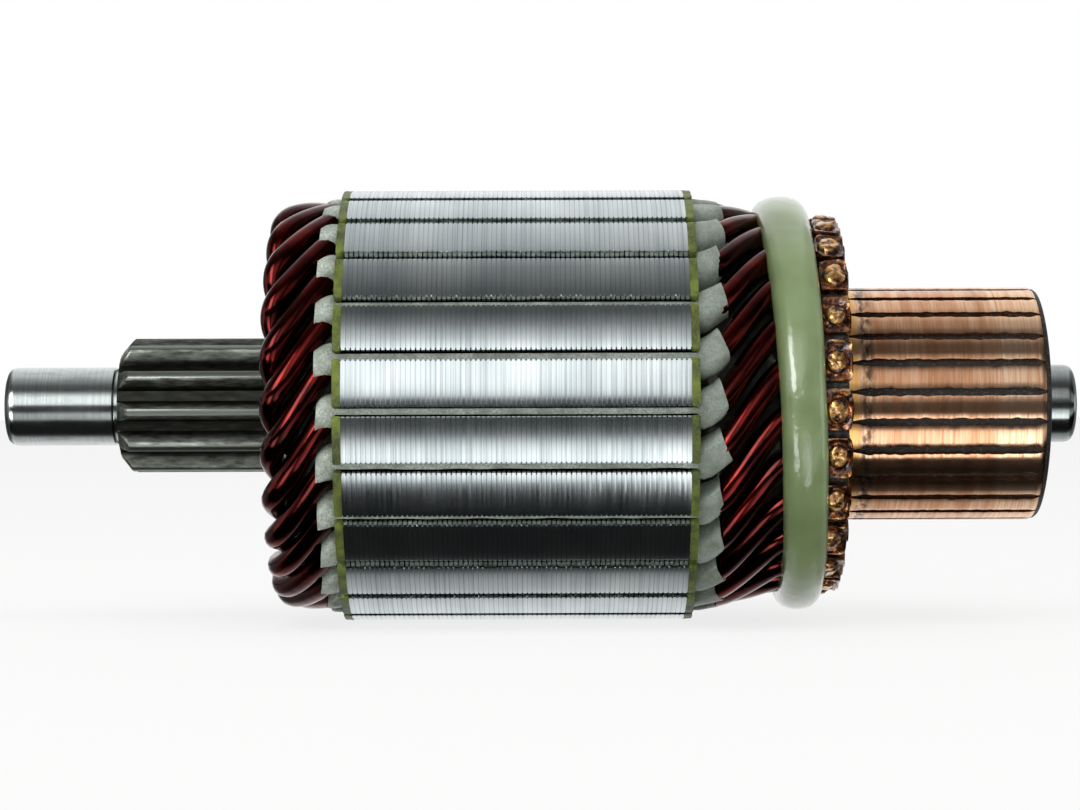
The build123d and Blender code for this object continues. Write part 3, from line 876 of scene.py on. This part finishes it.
def make_floor():
    """Pale floor, which mostly shows its own white to the camera and keeps a share of the part's shadow."""
    half_size, drop = 6.0, 0.0001
    material, tree, shader, _ = new_material("pale_floor", Roughness=0.9, Base_Color=linear("#f4f4f2"))
    white = add(tree, "Emission", Strength=1.0).outputs[0]
    share = add(tree, "Math", {"operation": "MULTIPLY"}, i0=seen_directly(tree), i1=0.8).outputs[0]
    mixed = add(tree, "MixShader", i0=share, i1=shader.outputs[0], i2=white).outputs[0]
    feed(tree, tree.nodes["Material Output"], Surface=mixed)
    bm = bmesh.new()
    bmesh.ops.create_grid(bm, x_segments=1, y_segments=1, size=half_size)
    bmesh.ops.translate(bm, verts=bm.verts, vec=(0, 0, cad_box[0].z - drop))
    stand_on_set("floor", bm, material).visible_glossy = False


def make_light_tent():
    """Tent of light and dark cards round the part, seen only in its gloss: two softboxes in a dim room."""
    tent_radius = 3.0
    # Elevation seen from the shaft, 0 at the camera and 90 overhead, and the levels there of the room,
    # of the softboxes over and under the camera, of the cards at its right and of the lamp at its left
    rows = [
        # Lit room behind and below the part
        (-180, 0.15, 0, 0, 0, 0), (-176, 0.9, 0, 0, 0, 0), (-150, 0.95, 0, 0, 0, 0), (-138, 0.95, 0, 0, 0, 0),
        (-118, 0.65, 0, 0, 0, 0), (-105, 0.45, 0, 0, 0, 0), (-96, 0.07, 0, 0, 0, 0),
        # Dark floor, then the lower softbox
        (-88, 0.015, 0, 0, 0, 0), (-47.5, 0.015, 0, 0, 0, 0), (-45, 0.015, 0, 0, 2.6, 0),
        (-42, 0.02, 0, 0.2, 2.6, 1), (-37, 0.04, 0, 1.4, 1.8, 4), (-28, 0.04, 0, 1.75, 1.2, 5),
        (-22, 0.04, 0, 1.5, 0.8, 4),
        # Dark gap at the camera, then the upper softbox
        (-15, 0.04, 0, 0.05, 0, 0), (2, 0.04, 0, 0, 0, 0), (6, 0.06, 1.3, 0, 0, 6), (9, 0.06, 1.65, 0, 0, 8),
        (14, 0.06, 1.65, 0, 0.1, 8), (18, 0.06, 1.65, 0, 0.6, 8), (27, 0.06, 1.6, 0, 0.6, 8),
        (34, 0.06, 1.0, 0, 0.55, 6), (43, 0.08, 0.15, 0, 0.3, 3),
        # Room that grows lighter overhead and behind
        (49, 0.08, 0, 0, 0, 0), (64, 0.14, 0, 0, 0, 0), (78, 0.34, 0, 0, 0, 0), (90, 0.58, 0, 0, 0, 0),
        (103, 0.8, 0, 0, 0, 0), (131, 1.05, 0, 0, 0, 0), (160, 1.1, 0, 0, 0, 0), (174, 0.9, 0, 0, 0, 0),
        (180, 0.15, 0, 0, 0, 0),
    ]
    # Place along the shaft in metres, and the share of each of them there
    columns = [
        (-12.0, 0.5, 0.3, 0.3, 0, 0), (-3.1, 0.25, 0.8, 0.3, 0, 0), (-2.9, 0.25, 0.8, 0.3, 0, 1),
        (-2.0, 0.35, 0.8, 0.3, 0, 1), (-1.35, 1, 0.8, 0.3, 0, 1), (-1.2, 1, 0.8, 0.3, 0, 0),
        (-0.45, 1, 0.8, 0.25, 0, 0), (-0.2, 1, 1, 1, 0, 0), (0.22, 1, 1, 1, 0, 0), (0.42, 1, 0.05, 0.4, 1, 0),
        (0.9, 1, 0.05, 0.4, 1, 0), (1.4, 1, 0.1, 0.3, 0, 0), (2.0, 0.35, 0.1, 0.3, 0, 0),
        (3.1, 0.25, 0.3, 0.3, 0, 0), (12.0, 0.5, 0.3, 0.3, 0, 0),
    ]

    def shine(levels, shares):
        return sum(level * share for level, share in zip(levels[1:], shares[1:]))

    bm = bmesh.new()
    glow = bm.verts.layers.float.new("glow")
    row = bm.verts.layers.int.new("row")
    ends = []
    for count, levels in enumerate(rows):
        turn = math.radians(levels[0])
        corner = bm.verts.new((columns[0][0], -tent_radius * math.cos(turn), tent_radius * math.sin(turn)))
        corner[row] = count
        corner[glow] = shine(levels, columns[0])
        ends.append(corner)
    edges = [bm.edges.new(pair) for pair in zip(ends, ends[1:])]
    for shares in columns[1:]:
        grown = bmesh.ops.extrude_edge_only(bm, edges=edges)["geom"]
        edges = [g for g in grown if isinstance(g, bmesh.types.BMEdge) and g.is_boundary
                 and abs(g.verts[0][row] - g.verts[1][row]) == 1]
        for corner in (g for g in grown if isinstance(g, bmesh.types.BMVert)):
            corner.co.x = shares[0]
            corner[glow] = shine(rows[corner[row]], shares)
    material = bpy.data.materials.new("lit_cards")
    material.use_nodes = True
    tree = material.node_tree
    tree.nodes.remove(tree.nodes["Principled BSDF"])
    strength = add(tree, "Attribute", {"attribute_name": "glow"}).outputs["Fac"]
    light = add(tree, "Emission", Strength=strength).outputs[0]
    feed(tree, tree.nodes["Material Output"], Surface=light)
    tent = stand_on_set("light_tent", bm, material)
    for ray in ("camera", "diffuse", "transmission", "volume_scatter", "shadow"):
        setattr(tent, "visible_" + ray, False)


def add_lamp(name, spot, aim, size, power):
    """Soft area lamp that lights the part but leaves its gloss to the light tent."""
    lamp = bpy.data.lights.new(name, "AREA")
    lamp.shape = "RECTANGLE"
    lamp.size, lamp.size_y = size
    lamp.energy = power
    holder = bpy.data.objects.new(name, lamp)
    holder.location = spot
    holder.rotation_mode = "QUATERNION"
    holder.rotation_quaternion = (Vector(aim) - Vector(spot)).to_track_quat("-Z", "Y")
    holder.visible_camera = False
    holder.visible_glossy = False
    bpy.context.scene.collection.objects.link(holder)


def make_world():
    """White surroundings for the camera and for gloss, and a plain level of light for everything else."""
    world = bpy.data.worlds.new("white_room")
    world.use_nodes = True
    tree = world.node_tree
    level = add(tree, "MapRange", Value=seen_directly(tree), To_Min=0.5, To_Max=1.0).outputs[0]
    feed(tree, tree.nodes["Background"], Color=(1, 1, 1, 1), Strength=level)
    bpy.context.scene.world = world


def make_camera():
    """Long lens, level with the shaft and square to it, turned a hair as in the photograph."""
    across, distance, turn = 0.0668, 0.4, -0.19
    camera = bpy.data.cameras.new("camera")
    camera.sensor_width = 36.0
    camera.lens = 94.9
    camera.clip_start, camera.clip_end = 0.01, 20.0
    holder = bpy.data.objects.new("camera", camera)
    holder.matrix_world = (
        Matrix.Translation((across, -distance, 0.0))
        @ Matrix.Rotation(math.radians(90), 4, "X")
        @ Matrix.Rotation(math.radians(turn), 4, "Z")
    )
    bpy.context.scene.collection.objects.link(holder)
    bpy.context.scene.camera = holder


make_camera()
make_world()
make_floor()
make_light_tent()
middle = (SHAFT_START + SHAFT_END) / 2 * MM
add_lamp("top_lamp", spot=(middle, -0.35, 0.75), aim=(middle, 0, 0), size=(1.2, 0.5), power=3.4)
add_lamp("front_lamp", spot=(middle, -0.85, 0.25), aim=(middle, 0, 0), size=(1.4, 0.3), power=1.2)

make_turned_shaft()
make_sun_pinion()
make_sheets()
make_insulator("drive_end_insulator", CORE_START - DISC)
make_insulator("commutator_end_insulator", CORE_END)
make_papers()
for number in range(SLOTS):
    make_hairpin(number)
make_winding_varnish()
make_band()
for number in range(SLOTS):
    make_bar(number)
make_hub()

bpy.context.scene.view_settings.view_transform = "Standard"
bpy.context.view_layer.update()
